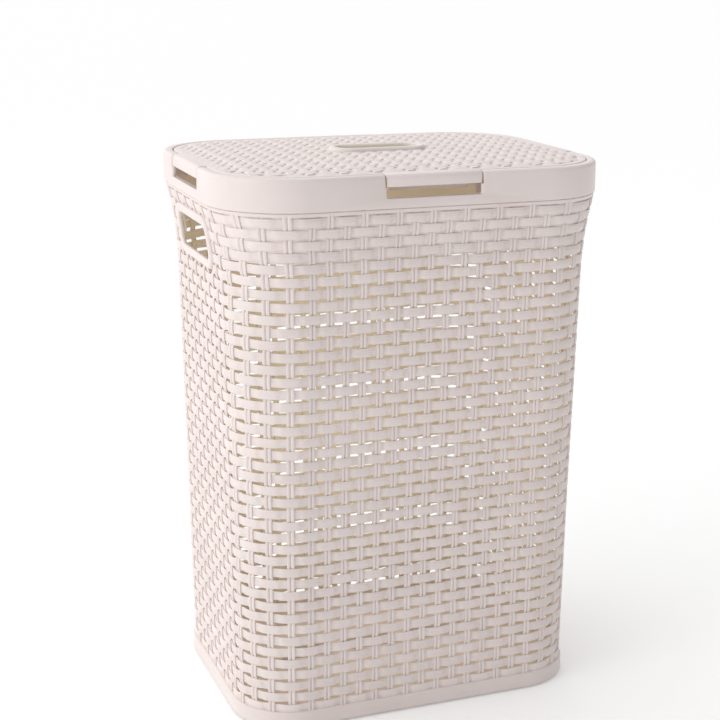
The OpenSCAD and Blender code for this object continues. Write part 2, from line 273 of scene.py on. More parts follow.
# ---------------------------------------------------------------- mesh building
class Build:
    """Collects grids of points into one mesh, with a strand value and an inner value."""

    def __init__(self):
        self.verts, self.quads, self.strand, self.inner = [], [], [], []
        self.count = 0

    def grid(self, points, closed_u, closed_v, strand=0.5, inner=None, caps=False):
        """points is (u, v, 3); faces join neighbours and wrap where closed."""
        nu, nv = points.shape[:2]
        ids = np.arange(nu * nv).reshape(nu, nv) + self.count
        a = ids if closed_u else ids[:-1]
        b = np.roll(ids, -1, 0) if closed_u else ids[1:]
        if not closed_v:
            a0, a1, b0, b1 = a[:, :-1], a[:, 1:], b[:, :-1], b[:, 1:]
        else:
            a0, a1, b0, b1 = a, np.roll(a, -1, 1), b, np.roll(b, -1, 1)
        self.quads.append(np.stack([a0, b0, b1, a1], -1).reshape(-1, 4))
        self.verts.append(points.reshape(-1, 3))
        self.strand.append(np.full(nu * nv, strand))
        value = np.zeros((nu, nv)) if inner is None else np.broadcast_to(inner, (nu, nv))
        self.inner.append(value.reshape(-1))
        self.count += nu * nv
        if caps and not closed_u:
            self.cap(points[0], strand, inner, True)
            self.cap(points[-1], strand, inner, False)

    def cap(self, ring, strand, inner, first):
        """Closes the end of a strip with quads across its section."""
        n = len(ring)
        half = n // 2
        left = ring[:half]
        right = ring[n - half:][::-1]
        ends = np.stack([left, right])
        if first:
            ends = ends[::-1]
        value = None if inner is None else np.broadcast_to(inner, (1, n))[:, :half]
        self.grid(ends, False, False, strand, value)

    def piece(self, name, material, smooth):
        """Makes the mesh and links it as an object."""
        verts = np.concatenate(self.verts)
        quads = np.concatenate(self.quads)
        mesh = bpy.data.meshes.new(name)
        mesh.vertices.add(len(verts))
        mesh.vertices.foreach_set("co", verts.astype(np.float32).ravel())
        mesh.loops.add(len(quads) * 4)
        mesh.loops.foreach_set("vertex_index", quads.astype(np.int32).ravel())
        mesh.polygons.add(len(quads))
        mesh.polygons.foreach_set("loop_start", np.arange(0, len(quads) * 4, 4, dtype=np.int32))
        mesh.update(calc_edges=True)
        for label, parts in (("strand", self.strand), ("inner", self.inner)):
            layer = mesh.attributes.new(label, "FLOAT", "POINT")
            layer.data.foreach_set("value", np.concatenate(parts).astype(np.float32))
        return add_piece(name, mesh, material, smooth)


def shade_smooth(mesh, angle):
    """Makes a mesh look smooth across edges that bend by less than angle, in degrees."""
    for face in mesh.polygons:
        face.use_smooth = True
    mesh.set_sharp_from_angle(angle=math.radians(angle))


def add_piece(name, mesh, material, smooth):
    """Links a mesh as an object with outward normals, smooth below an angle."""
    work = bmesh.new()
    work.from_mesh(mesh)
    bmesh.ops.remove_doubles(work, verts=work.verts, dist=TINY)
    bmesh.ops.recalc_face_normals(work, faces=work.faces)
    work.to_mesh(mesh)
    work.free()
    shade_smooth(mesh, smooth)
    mesh.materials.append(material)
    obj = bpy.data.objects.new(name, mesh)
    bpy.context.scene.collection.objects.link(obj)
    return obj


# ---------------------------------------------------------------- materials
IVORY = (0.80, 0.714, 0.692)
# the clouds' darker side, as shares of the plastic's colour
CLOUD_SHARES = (0.965, 0.955, 0.945)
# strands differ in lightness between these shares
STRAND_SHARES = (0.965, 1.02)
# scale and detail of the noises
CLOUD_NOISE = (14.0, 4.0)
SMEAR_NOISE = (45.0, 6.0)
GRAIN_NOISE = (900.0, 3.0)
# inner faces get painted warm shade, a darker and warmer colour that stands in for the light that
# comes through the plastic
INNER_PAINTED_SHADE = (0.74, 0.68, 0.58)
ROUGH_WEAVE = 0.42
ROUGH_SMOOTH = 0.36
RIB_PERIOD = 2.6 * MM
RIB_DEPTH = 0.25 * MM
GRAIN_DEPTH = 0.2 * MM


class Shader:
    """A plastic's node tree, with short ways to add what the looks need."""

    def __init__(self, name):
        self.mat = bpy.data.materials.new(name)
        self.mat.use_nodes = True
        self.bsdf = self.mat.node_tree.nodes["Principled BSDF"]
        self.coords = self.add("ShaderNodeTexCoord")

    def add(self, kind, **values):
        """Adds a node; values are its inputs by name, with _ for a space."""
        node = self.mat.node_tree.nodes.new(kind)
        for label, value in values.items():
            node.inputs[label.replace("_", " ")].default_value = value
        return node

    def link(self, source, target):
        """Links an output to an input."""
        self.mat.node_tree.links.new(source, target)

    def noise(self, scale, detail):
        """The value of a noise in the object's own coordinates."""
        node = self.add("ShaderNodeTexNoise", Scale=scale, Detail=detail)
        self.link(self.coords.outputs["Object"], node.inputs["Vector"])
        return node.outputs["Fac"]

    def attribute(self, name):
        """The value of a mesh attribute."""
        node = self.add("ShaderNodeAttribute")
        node.attribute_name = name
        return node.outputs["Fac"]

    def ranged(self, value, low, high):
        """A value from 0 to 1 moved to run from low to high."""
        node = self.add("ShaderNodeMapRange", To_Min=low, To_Max=high)
        self.link(value, node.inputs["Value"])
        return node.outputs["Result"]

    def bump(self, height, strength, depth, under=None):
        """A normal bumped by height, on top of another normal if one is given."""
        node = self.add("ShaderNodeBump", Strength=strength, Distance=depth)
        self.link(height, node.inputs["Height"])
        if under:
            self.link(under, node.inputs["Normal"])
        return node.outputs["Normal"]


def plastic(name, rough, ribbed=False):
    """Moulded satin plastic: faint clouds, uneven gloss, a fine grain and, on bands, fine ribs."""
    shader = Shader(name)
    ramp = shader.add("ShaderNodeValToRGB")
    dark, light = ramp.color_ramp.elements
    dark.position, light.position = 0.3, 0.7
    dark.color = (*(c * share for c, share in zip(IVORY, CLOUD_SHARES)), 1)
    light.color = (*IVORY, 1)
    shader.link(shader.noise(*CLOUD_NOISE), ramp.inputs["Fac"])

    # each strand has its own lightness, and inner faces get the painted warm shade
    shade = shader.add("ShaderNodeHueSaturation")
    shader.link(ramp.outputs["Color"], shade.inputs["Color"])
    lightness = shader.ranged(shader.attribute("strand"), *STRAND_SHARES)
    shader.link(lightness, shade.inputs["Value"])
    # painted warm shade, mixed in by each point's inner value
    mix = shader.add("ShaderNodeMix")
    mix.data_type = "RGBA"
    outer_color, painted_inner_shade = mix.inputs[6:8]
    mixed_color = mix.outputs[2]
    painted_inner_shade.default_value = (*INNER_PAINTED_SHADE, 1)
    shader.link(shader.attribute("inner"), mix.inputs["Factor"])
    shader.link(shade.outputs["Color"], outer_color)
    shader.link(mixed_color, shader.bsdf.inputs["Base Color"])

    gloss = shader.ranged(shader.noise(*SMEAR_NOISE), rough - 0.06, rough + 0.08)
    shader.link(gloss, shader.bsdf.inputs["Roughness"])
    shader.bsdf.inputs["Specular IOR Level"].default_value = 0.45

    normal = shader.bump(shader.noise(*GRAIN_NOISE), 0.12, GRAIN_DEPTH)
    if ribbed:
        wave = shader.add("ShaderNodeTexWave", Scale=2 * math.pi / (20 * RIB_PERIOD),
                          Distortion=0.6, Detail=1.0, Detail_Scale=3.0)
        wave.wave_type = "BANDS"
        wave.bands_direction = "Z"
        shader.link(shader.coords.outputs["Object"], wave.inputs["Vector"])
        normal = shader.bump(wave.outputs["Fac"], 0.6, RIB_DEPTH, under=normal)
    shader.link(normal, shader.bsdf.inputs["Normal"])
    return shader.mat


MAT_SMOOTH = plastic("ivory_smooth", ROUGH_SMOOTH)
MAT_BAND = plastic("ivory_band", ROUGH_WEAVE, ribbed=True)
MAT_POST = plastic("ivory_post", ROUGH_WEAVE)
MAT_LID = plastic("ivory_lid_weave", ROUGH_WEAVE)
MAT_LID_SMOOTH = plastic("ivory_lid_smooth", ROUGH_SMOOTH)


# ---------------------------------------------------------------- woven wall
def band_section(width, thick):
    """Across and out points round a flat band with soft edges, and the inner value of each: the
    share of painted warm shade, full on the back and a little at the edges.
    """
    pts = [(-0.5, 0.0), (-0.49, 0.32), (-0.44, 0.46), (0.0, 0.5), (0.44, 0.46),
           (0.49, 0.32), (0.5, 0.0), (0.45, -0.5), (-0.45, -0.5)]
    across = np.array([p[0] * width for p in pts])
    out = np.array([p[1] * thick for p in pts])
    return across, out, np.array([0.2, 0, 0, 0, 0, 0, 0.2, 1, 1])


def post_section(width, thick):
    """A post of two round strands with a groove between them; its inner values paint warm shade on
    the back, a little at the edges and in the groove.
    """
    pts = [(-0.5, -0.1), (-0.47, 0.34), (-0.27, 0.52), (-0.09, 0.38), (0.0, -0.15),
           (0.09, 0.38), (0.27, 0.52), (0.47, 0.34), (0.5, -0.1), (0.42, -0.5), (-0.42, -0.5)]
    across = np.array([p[0] * width for p in pts])
    out = np.array([p[1] * thick for p in pts])
    return across, out, np.array([0.2, 0, 0, 0, 0.1, 0, 0, 0, 0.2, 1, 1])


def wall_points(s, z, out):
    """Points of the wall at path length s and height z, standing out from its middle."""
    x, y = plan_point(s, inset_at(z) + MID_IN - out)
    z = np.broadcast_to(z, x.shape)
    return np.stack([*spread_out(x, y, z), z], -1)


def handle_spans():
    """Post-count spans of the two handle openings, right then left, with the frame's cover."""
    reach = HANDLE_W / 2 + FRAME_COVER
    return [tuple(np.interp([mid - reach, mid + reach], KNOTS, COUNTS))
            for mid in (SIDE_MID, LENGTH - SIDE_MID)]


def add_band(build, n, rng):
    """One row of the weave, broken where it meets a handle opening."""
    closed_row = n <= CLOSED_ROWS
    width = BAND_CLOSED if closed_row else BAND_OPEN
    mid = (row_edge(n - 1) + row_edge(n)) / 2
    across, out, inner = band_section(width, BAND_T)
    sign = 1 if n % 2 == 0 else -1
    shade = rng.random()
    low, high = mid - width / 2, mid + width / 2
    spans = [(0.0, float(POST_COUNT), True)]
    if low < OPENING_HIGH and high > OPENING_LOW:
        (right_start, right_end), (left_start, left_end) = handle_spans()
        spans = [(right_end, left_start, False), (left_end, right_start + POST_COUNT, False)]
    for p0, p1, loop in spans:
        steps = int(round((p1 - p0) * BAND_STEPS))
        p = np.linspace(p0, p1, steps, endpoint=not loop)
        lift = sign * RELIEF * weave_wave(np.cos(math.pi * p))
        s = path_at(p)
        z = mid + across
        points = wall_points(s[:, None], z[None, :], lift[:, None] + out[None, :])
        build.grid(points, loop, True, shade, inner[None, :], caps=not loop)


def post_lift(k, z):
    """How far post k stands out at height z."""
    edges = np.array([row_edge(n) for n in range(ROWS + 1)])
    mids = (edges[:-1] + edges[1:]) / 2
    count = np.interp(-z, -mids, np.arange(1, ROWS + 1))
    return -RELIEF * weave_wave(np.cos(math.pi * (k + count)))


def add_post(build, k, rng):
    """One upright of the weave, from the strip under the collar to the base band."""
    s = POSTS[k]
    across, out, inner = post_section(CORNER_POST_W if in_corner(s) else POST_W, POST_T)
    top, bottom = COLLAR_Z - 1.3 * MM, WALL_Z - 1 * MM
    spans = [(top, bottom)]
    if any(start < k < end for start, end in handle_spans()):
        spans = [(top, OPENING_HIGH), (OPENING_LOW, bottom)]
    shade = rng.random()
    for span_top, span_bottom in spans:
        steps = max(4, int(round((span_top - span_bottom) / OPEN_PITCH * POST_STEPS)))
        z = np.linspace(span_top, span_bottom, steps)
        lift = post_lift(k, z)
        points = wall_points(s + across[None, :], z[:, None], lift[:, None] + out[None, :])
        build.grid(points, False, True, shade, inner[None, :], caps=True)


def woven_wall():
    """The basket's woven wall as rows and posts, in pieces by height and by side."""
    rng = np.random.default_rng(WALL_SEED)
    pieces = []
    for name, first, last in ROW_GROUPS:
        build = Build()
        for n in range(first, last + 1):
            add_band(build, n, rng)
        pieces.append(build.piece(name, MAT_BAND, SMOOTH_WEAVE))
    quarter = POST_COUNT // 4
    front = [k for k in range(POST_COUNT) if k <= quarter or k > POST_COUNT - quarter]
    back = [k for k in range(POST_COUNT) if quarter < k <= POST_COUNT - quarter]
    for name, chosen in (("weave_posts_front", front), ("weave_posts_back", back)):
        build = Build()
        for k in chosen:
            add_post(build, k, rng)
        pieces.append(build.piece(name, MAT_POST, SMOOTH_WEAVE))
    return pieces


# ---------------------------------------------------------------- swept mouldings
def corner_samples():
    """Path lengths that give each straight one face and each corner even steps."""
    s, out = 0.0, []
    for straight in (STRAIGHT_X, 2 * STRAIGHT_Y, 2 * STRAIGHT_X, 2 * STRAIGHT_Y):
        s += straight
        out += [s + QUARTER * i / CORNER_STEPS for i in range(CORNER_STEPS + 1)]
        s += QUARTER
    return np.array(out)


def swept_solid(name, section, inner_from, spread=False):
    """A closed section of (distance in, height) points swept round the plan.

    The points from inner_from on are inner ones. With spread, what is below the collar
    stands out like the wall.
    """
    inset = np.array([p[0] for p in section])
    z = np.array([p[1] for p in section])
    x, y = plan_point(corner_samples()[:, None], inset[None, :])
    z = np.broadcast_to(z, x.shape)
    if spread:
        x, y = np.where(z < COLLAR_Z - 1 * MM, spread_out(x, y, z), (x, y))
    # the inner points get the painted warm shade
    inner = np.arange(len(section)) >= inner_from
    build = Build()
    build.grid(np.stack([x, y, z], -1), True, True, 0.5, inner[None, :].astype(float))
    return build.piece(name, MAT_SMOOTH, SMOOTH_PLAIN)


def arc(cx, cz, r, a0, a1, steps):
    """Points on an arc in a section, angles in degrees."""
    return [(cx + r * math.cos(math.radians(a0 + (a1 - a0) * i / steps)),
             cz + r * math.sin(math.radians(a0 + (a1 - a0) * i / steps)))
            for i in range(steps + 1)]


def corner_arcs(w, h, r, steps):
    """Round a rectangle w by h: each point's arc centre (two values) and direction (two)."""
    rows = []
    for cu, cv, a0 in ((w / 2 - r, h / 2 - r, 0), (-w / 2 + r, h / 2 - r, 90),
                       (-w / 2 + r, -h / 2 + r, 180), (w / 2 - r, -h / 2 + r, 270)):
        for i in range(steps + 1):
            a = math.radians(a0 + 90 * i / steps)
            rows.append((cu, cv, math.cos(a), math.sin(a)))
    return rows


def cutter(w, h, r, z, axis):
    """A cutter: a rounded rectangle w by h at height z, run right through along X or Y."""
    outline = [(cu + r * du, cv + r * dv) for cu, cv, du, dv in corner_arcs(w, h, r, 8)]
    work = bmesh.new()
    rings = []
    for end in (-CUT_LENGTH / 2, CUT_LENGTH / 2):
        if axis == "Y":
            rings.append([work.verts.new((u, end, v)) for u, v in outline])
        else:
            rings.append([work.verts.new((end, u, v)) for u, v in outline])
    n = len(outline)
    for i in range(n):
        j = (i + 1) % n
        work.faces.new((rings[0][i], rings[0][j], rings[1][j], rings[1][i]))
    work.faces.new(rings[0])
    work.faces.new(rings[1])
    bmesh.ops.recalc_face_normals(work, faces=work.faces)
    obj = bpy.data.objects.new("cutter", mesh_from(work, "cutter"))
    obj.data.transform(Matrix.Translation((0, 0, z)))
    bpy.context.scene.collection.objects.link(obj)
    return obj


def apply_all(obj):
    """Applies every modifier of an object to its mesh."""
    bpy.context.view_layer.update()
    graph = bpy.context.evaluated_depsgraph_get()
    mesh = bpy.data.meshes.new_from_object(obj.evaluated_get(graph))
    obj.modifiers.clear()
    old = obj.data
    obj.data = mesh
    bpy.data.meshes.remove(old)


def mesh_from(work, name):
    """Turns a bmesh into a mesh and frees it."""
    mesh = bpy.data.meshes.new(name)
    work.to_mesh(mesh)
    work.free()
    return mesh


def cut(obj, cutters):
    """Subtracts the cutters from an object and removes them."""
    for tool in cutters:
        mod = obj.modifiers.new("cut", "BOOLEAN")
        mod.operation = "DIFFERENCE"
        mod.solver = "EXACT"
        mod.object = tool
    apply_all(obj)
    for tool in cutters:
        bpy.data.objects.remove(tool)
    shade_smooth(obj.data, SMOOTH_PLAIN)


def bevel_edges(obj, width, chosen):
    """Rounds the sharp edges that chosen(edge) accepts."""
    work = bmesh.new()
    work.from_mesh(obj.data)
    work.normal_update()
    sharp = [e for e in work.edges if len(e.link_faces) == 2
             and e.calc_face_angle(0) > math.radians(SMOOTH_EDGED) and chosen(e)]
    bmesh.ops.bevel(work, geom=sharp, offset=width, segments=3, profile=0.5,
                    affect="EDGES", clamp_overlap=True, loop_slide=True)
    work.to_mesh(obj.data)
    work.free()
    shade_smooth(obj.data, SMOOTH_EDGED)


def soften(work, width):
    """Rounds every edge of a bmesh."""
    bmesh.ops.bevel(work, geom=work.edges[:], offset=width, segments=2, profile=0.5,
                    affect="EDGES")


def add_box(work, size, centre, spin):
    """Adds a box to a bmesh, turned about the middle of the hamper."""
    corners = bmesh.ops.create_cube(work, size=1.0)["verts"]
    matrix = spin @ Matrix.Translation(centre) @ Matrix.Diagonal((*size, 1))
    bmesh.ops.transform(work, matrix=matrix, verts=corners)


def turned(turn):
    """A rotation by so many quarter turns from the front: 1 is the right and 3 the left."""
    return Matrix.Rotation(turn * math.pi / 2, 4, "Z")


def face_distance(turn):
    """How far the collar's face is from the middle on that side."""
    return HALF_D if turn % 2 == 0 else HALF_W


def notch_cutters():
    """Cutters for the four notches, rounded at their lower corners and open at the top."""
    height = 80 * MM
    return [cutter(NOTCH_W, height, NOTCH_R, NOTCH_Z + height / 2, axis) for axis in ("X", "Y")]


def collar():
    """The collar: skin, top flange, inner wall and ledge, with a notch cut in each side."""
    top, low = RIM_Z, COLLAR_Z
    skin, flange, ledge = 3 * MM, 10 * MM, 18 * MM
    ledge_z, ledge_t, inner_t = RIM_Z - 9 * MM, 2.5 * MM, 2.5 * MM
    edge_r = 4 * MM
    section = [(0.6 * MM, low), (0.15 * MM, low + 0.3 * MM), (0, low + 1 * MM)]
    section += [(edge_r - p[0], p[1]) for p in arc(0, top - edge_r, edge_r, 0, 90, 6)]
    section += [(flange - 1 * MM, top), (flange - 0.3 * MM, top - 0.3 * MM),
                (flange, top - 1 * MM), (flange, ledge_z), (ledge, ledge_z),
                (ledge, ledge_z - ledge_t), (flange - inner_t, ledge_z - ledge_t),
                (flange - inner_t, top - skin), (skin, top - skin), (skin, low)]
    obj = swept_solid("collar_moulding", section, inner_from=len(section))
    cut(obj, notch_cutters())
    bevel_edges(obj, 0.9 * MM, at_notch)
    return obj


def at_notch(edge):
    """Whether an edge of the collar lies on the outer part of a notch's rim."""
    mid = (edge.verts[0].co + edge.verts[1].co) / 2
    near, outer_depth, side_depth = 5 * MM, 11 * MM, 20 * MM
    outer = abs(mid.x) > HALF_W - outer_depth or abs(mid.y) > HALF_D - outer_depth
    front_or_back = abs(mid.y) > HALF_D - side_depth
    along = abs(mid.x) if front_or_back else abs(mid.y)
    beside = abs(along - NOTCH_W / 2) < near
    bottom = abs(mid.z - NOTCH_Z) < near
    return outer and (beside or bottom) and mid.z > NOTCH_Z - 1 * MM


def cheeks():
    """Cheeks in the hollow beside each notch, with a lip at their inner end."""
    work = bmesh.new()
    thick, back, lip = 2.4 * MM, 5.5 * MM, 1.6 * MM
    near_face, rim_depth, full_depth = 1.6 * MM, 9.5 * MM, 20.5 * MM
    low, ledge = NOTCH_Z - 1.5 * MM, RIM_Z - 9.6 * MM
    # start and end away from the notch, then depth from the collar's face, then height
    boxes = ((back, back + thick, near_face, full_depth, low, ledge),
             (-1.8 * MM, back + thick, full_depth - lip, full_depth, low, ledge),
             (0, thick, near_face, rim_depth, ledge - 0.1 * MM, RIM_Z - 2 * MM))
    for turn in range(4):
        for side in (-1, 1):
            for start, end, near, far, bottom, top in boxes:
                size = (end - start, far - near, top - bottom)
                centre = (side * (NOTCH_W / 2 + (start + end) / 2),
                          -face_distance(turn) + (near + far) / 2, (bottom + top) / 2)
                add_box(work, size, centre, turned(turn))
    soften(work, 0.4 * MM)
    # a round edge down each side of the gap left under the front, right and left tongues
    round_r, low, top = 2.6 * MM, NOTCH_Z - 0.5 * MM, TONGUE_Z - 0.8 * MM
    for turn in (0, 1, 3):
        for side in (-1, 1):
            place = Matrix.Translation((side * (NOTCH_W / 2 + 0.3 * MM),
                                        -face_distance(turn) + round_r + 0.1 * MM,
                                        (low + top) / 2))
            bmesh.ops.create_cone(work, cap_ends=True, segments=20, radius1=round_r,
                                  radius2=round_r, depth=top - low, matrix=turned(turn) @ place)
    mesh = mesh_from(work, "collar_cheeks")
    return add_piece("collar_cheeks", mesh, MAT_SMOOTH, SMOOTH_PLAIN)


def upper_shell():
    """The smooth backing behind the closed rows, with the strip and sleeve at the collar."""
    back, thick = MID_IN + 0.4 * MM, 2.4 * MM
    low = row_edge(CLOSED_ROWS) - 0.5 * MM
    sleeve_out, sleeve_in, sleeve_z = 3.1 * MM, 6.2 * MM, COLLAR_Z + 22 * MM
    heights = np.linspace(low, STRIP_Z, 9)
    strip_in = float(inset_at(STRIP_Z))
    outer = [(float(inset_at(z)) + back, z) for z in heights]
    outer += [(strip_in + 0.6 * MM, STRIP_Z + 0.2 * MM), (strip_in + 0.1 * MM, STRIP_Z + 0.7 * MM),
              (WALL_STEP + 0.3 * MM, COLLAR_Z - 1.2 * MM), (WALL_STEP, COLLAR_Z + 1 * MM),
              (sleeve_out, COLLAR_Z + 1.2 * MM), (sleeve_out, sleeve_z)]
    inner = [(sleeve_in, sleeve_z), (sleeve_in, COLLAR_Z)]
    inner += [(float(inset_at(z)) + back + thick, z) for z in heights[::-1]]
    obj = swept_solid("upper_shell", outer + inner, inner_from=len(outer), spread=True)
    slot = cutter(HANDLE_W + 2 * MM, HANDLE_H + 2 * MM, HANDLE_R, HANDLE_Z, "X")
    cut(obj, notch_cutters() + [slot])
    return obj


def handle_frame(side):
    """The broad smooth frame round the handle opening of one side, 1 right and -1 left."""
    path = np.array(corner_arcs(HANDLE_W, HANDLE_H, HANDLE_R, 12))
    centre_y, centre_z, along_y, along_z = path.T[:, :, None]
    # distance out from the opening's edge and height over the wall's face, in millimetres
    section = np.array([(0.4, -2.4), (0.0, -1.6), (0.0, 0.4), (0.35, 1.3), (1.2, 2.1), (2.6, 2.5),
                        (6.0, 2.7), (8.4, 2.3), (9.6, 1.3), (10.2, 0.0), (10.4, -2.2),
                        (6.0, -2.9)]) * MM
    # the points deep in the opening and behind the wall get most of the painted warm shade
    inner = np.zeros(len(section))
    inner[[0, 1, -1]] = 0.8
    reach = HANDLE_R + section[:, 0]
    y = centre_y + along_y * reach
    z = centre_z + along_z * reach + HANDLE_Z
    x = HALF_W - inset_at(z) + side_spread_at(z) + section[:, 1]
    build = Build()
    build.grid(np.stack([side * x, y, z], -1), True, True, 0.5, inner[None, :])
    label = "right" if side > 0 else "left"
    return build.piece(f"handle_surround_{label}", MAT_SMOOTH, SMOOTH_ROUND)


# ---------------------------------------------------------------- lid
def panel_edge_distance(x, y):
    """Distance in from the edge of the lid's panel, which is a rounded rectangle."""
    past_x = np.abs(x) - (PANEL_W / 2 - PANEL_R)
    past_y = np.abs(y - LID_Y) - (PANEL_D / 2 - PANEL_R)
    outside = np.hypot(np.maximum(past_x, 0), np.maximum(past_y, 0))
    return PANEL_R - outside - np.minimum(np.maximum(past_x, past_y), 0)


def dome_z(x, y):
    """Height of the lid's domed surface: a soft roll at the edge and a broad crown."""
    share = np.clip(panel_edge_distance(x, y) / ROLL_W, 0, 1)
    roll = 1 - (1 - share) ** 2
    crown = (1 - (2 * x / PANEL_W) ** 2) * (1 - (2 * (y - LID_Y) / PANEL_D) ** 2)
    return LID_Z + DOME_H * (0.45 * roll + 0.55 * np.clip(crown, 0, 1))


def strand_runs(axis, place, width):
    """Starts and ends of a lid strand's stretches between the border and the grip ring."""
    samples = 2001
    half_long = (PANEL_W if axis == "X" else PANEL_D) / 2
    line = np.linspace(-half_long, half_long, samples)
    if axis == "X":
        x, y = line, np.full_like(line, LID_Y + place)
    else:
        x, y = np.full_like(line, place), LID_Y + line
    half = width / 2
    margin = np.minimum.reduce([panel_edge_distance(x + dx, y + dy)
                                for dx, dy in ((half, 0), (-half, 0), (0, half), (0, -half))])
    # strands run a little way under the ring, which is a stadium, and under the border
    under_ring, under_border, overhang = 4 * MM, 1 * MM, 0.3 * width
    cap = (RING_L - RING_W) / 2
    from_ring = np.hypot(np.maximum(np.abs(x) - cap, 0), y - LID_Y) - RING_W / 2
    keep = (margin > -overhang) & (from_ring > -under_ring)
    keep &= panel_edge_distance(x, y) > -under_border
    changes = np.flatnonzero(np.diff(np.concatenate([[0], keep.astype(int), [0]])))
    return [(line[a], line[b - 1]) for a, b in zip(changes[::2], changes[1::2])]


def lid_strand(build, axis, place, width, thick, pitch, sign, shade):
    """One strand of the lid's weave; sign tells whether it is over or under in the middle."""
    across, out = ridge_section(width, thick)
    shortest = 3 * MM
    for start, end in strand_runs(axis, place, width):
        if end - start < shortest:
            continue
        steps = max(3, int((end - start) / pitch * LID_STEPS))
        u = np.linspace(start, end, steps)
        lift = sign * LID_RELIEF * weave_wave(np.cos(math.pi * u / pitch))
        along = np.broadcast_to(u[:, None], (steps, len(across)))
        sideways = np.broadcast_to(place + across[None, :], along.shape)
        x, y = (along, sideways + LID_Y) if axis == "X" else (sideways, along + LID_Y)
        z = dome_z(x, y) - 1.0 * MM + lift[:, None] + out[None, :]
        build.grid(np.stack([x, y, z], -1), False, True, shade, caps=True)


def ridge_section(width, thick):
    """Across and out points round a plain rounded strand."""
    angles = np.linspace(0, math.pi, 9)
    across = np.concatenate([-0.5 * np.cos(angles), [0.42, -0.42]]) * width
    out = np.concatenate([0.5 * np.sin(angles) ** 0.8, [-0.5, -0.5]]) * thick
    return across, out


def lid_weave():
    """The woven relief of the lid, in rows and uprights."""
    rng = np.random.default_rng(LID_SEED)
    # piece, its axis, half the panel across it, its pitch and the other's, size, middle sign
    kinds = (("lid_weave_rows", "X", PANEL_D / 2, LID_ROW_PITCH, LID_POST_PITCH,
              LID_BAND, LID_BAND_T, 1),
             ("lid_weave_posts", "Y", PANEL_W / 2, LID_POST_PITCH, LID_ROW_PITCH,
              LID_POST, LID_POST_T, -1))
    pieces = []
    for name, axis, half, pitch, crossing, width, thick, middle in kinds:
        build = Build()
        count = int(half / pitch) + 1
        for i in range(-count, count + 1):
            sign = middle if i % 2 == 0 else -middle
            lid_strand(build, axis, i * pitch, width, thick, crossing, sign, rng.random())
        pieces.append(build.piece(name, MAT_LID, SMOOTH_ROUND))
    return pieces


def lid_shell():
    """The lid's domed panel behind the woven relief, with the slot of the grip ring."""
    rings, spokes = 24, 160
    ring_w, gap, sunk, thick = 12 * MM, 0.4 * MM, 1.1 * MM, 1.4 * MM
    angles = np.linspace(0, 2 * math.pi, spokes, endpoint=False)
    slot = np.array([stadium_point(a, RING_L - ring_w, RING_W - ring_w) for a in angles])
    rim = np.array([rounded_point(a, PANEL_W - gap, PANEL_D - gap, PANEL_R) for a in angles])
    share = np.linspace(0, 1, rings)[:, None, None]
    flat = slot[None] * (1 - share) + rim[None] * share
    x, y = flat[..., 0], flat[..., 1] + LID_Y
    top = dome_z(x, y) - sunk
    upper = np.stack([x, y, top], -1)
    lower = np.stack([x, y, top - thick], -1)[::-1]
    build = Build()
    build.grid(np.concatenate([upper, lower]), True, True)
    return build.piece("lid_shell", MAT_LID_SMOOTH, SMOOTH_EDGED)


def stadium_point(a, length, width):
    """A point of a stadium in direction a, by ray from the middle."""
    cap = (length - width) / 2
    c, s = math.cos(a), math.sin(a)
    r = width / 2
    if abs(s) > TINY and abs(r / abs(s) * c) <= cap:
        t = r / abs(s)
    else:
        b = abs(c) * cap
        t = b + math.sqrt(max(b * b - cap * cap + r * r, 0))
    return c * t, s * t


def rounded_point(a, w, d, r):
    """A point of a rounded rectangle in direction a, by ray from the middle."""
    c, s = math.cos(a), math.sin(a)
    lo, hi = 0.0, w
    halvings = 40
    for _ in range(halvings):
        t = (lo + hi) / 2
        qx, qy = abs(c * t) - (w / 2 - r), abs(s * t) - (d / 2 - r)
        inside = math.hypot(max(qx, 0), max(qy, 0)) + min(max(qx, qy), 0) < r
        lo, hi = (t, hi) if inside else (lo, t)
    return c * lo, s * lo


def lid_border():
    """The lid's smooth border with its turned-down edge."""
    w, d = BORDER_HI.x - BORDER_LO.x, BORDER_HI.y - BORDER_LO.y
    r = CORNER_R - 11 * MM
    low, thick, border_w = RIM_Z - 8.7 * MM, 2.5 * MM, 9.6 * MM
    section = [(p[0] * MM, LID_Z + p[1] * MM) for p in
               ((2.2, 0), (1.2, -0.12), (0.5, -0.5), (0.12, -1.2), (0, -2.2))]
    section += [(0, low), (thick, low), (thick, LID_Z - thick), (border_w, LID_Z - thick),
                (border_w, LID_Z - 0.9 * MM), (border_w - 0.6 * MM, LID_Z - 0.2 * MM),
                (border_w - 1.2 * MM, LID_Z)]
    points = []
    for i, (sx, sy) in enumerate(((1, -1), (1, 1), (-1, 1), (-1, -1))):
        for k in range(CORNER_STEPS + 1):
            a = math.radians(-90 + 90 * i + 90 * k / CORNER_STEPS)
            row = [(sx * (w / 2 - r) + math.cos(a) * (r - inset),
                    LID_Y + sy * (d / 2 - r) + math.sin(a) * (r - inset), z)
                   for inset, z in section]
            points.append(row)
    build = Build()
    build.grid(np.array(points), True, True)
    return build.piece("lid_frame", MAT_LID_SMOOTH, SMOOTH_EDGED)


def stop_ribs():
    """The short ribs that hang behind the front, right and left tongues."""
    work = bmesh.new()
    width, thick, behind = 88 * MM, 2.2 * MM, 7.6 * MM
    low, high = BORDER_LO.z - 1.2 * MM, LID_Z - 1.2 * MM
    for turn, edge in ((0, FRONT_EDGE), (1, SIDE_EDGE), (3, SIDE_EDGE)):
        centre = (0, behind - edge - thick / 2, (low + high) / 2)
        add_box(work, (width, thick, high - low), centre, turned(turn))
    soften(work, 0.5 * MM)
    mesh = mesh_from(work, "lid_stop_ribs")
    return add_piece("lid_stop_ribs", mesh, MAT_LID_SMOOTH, SMOOTH_PLAIN)


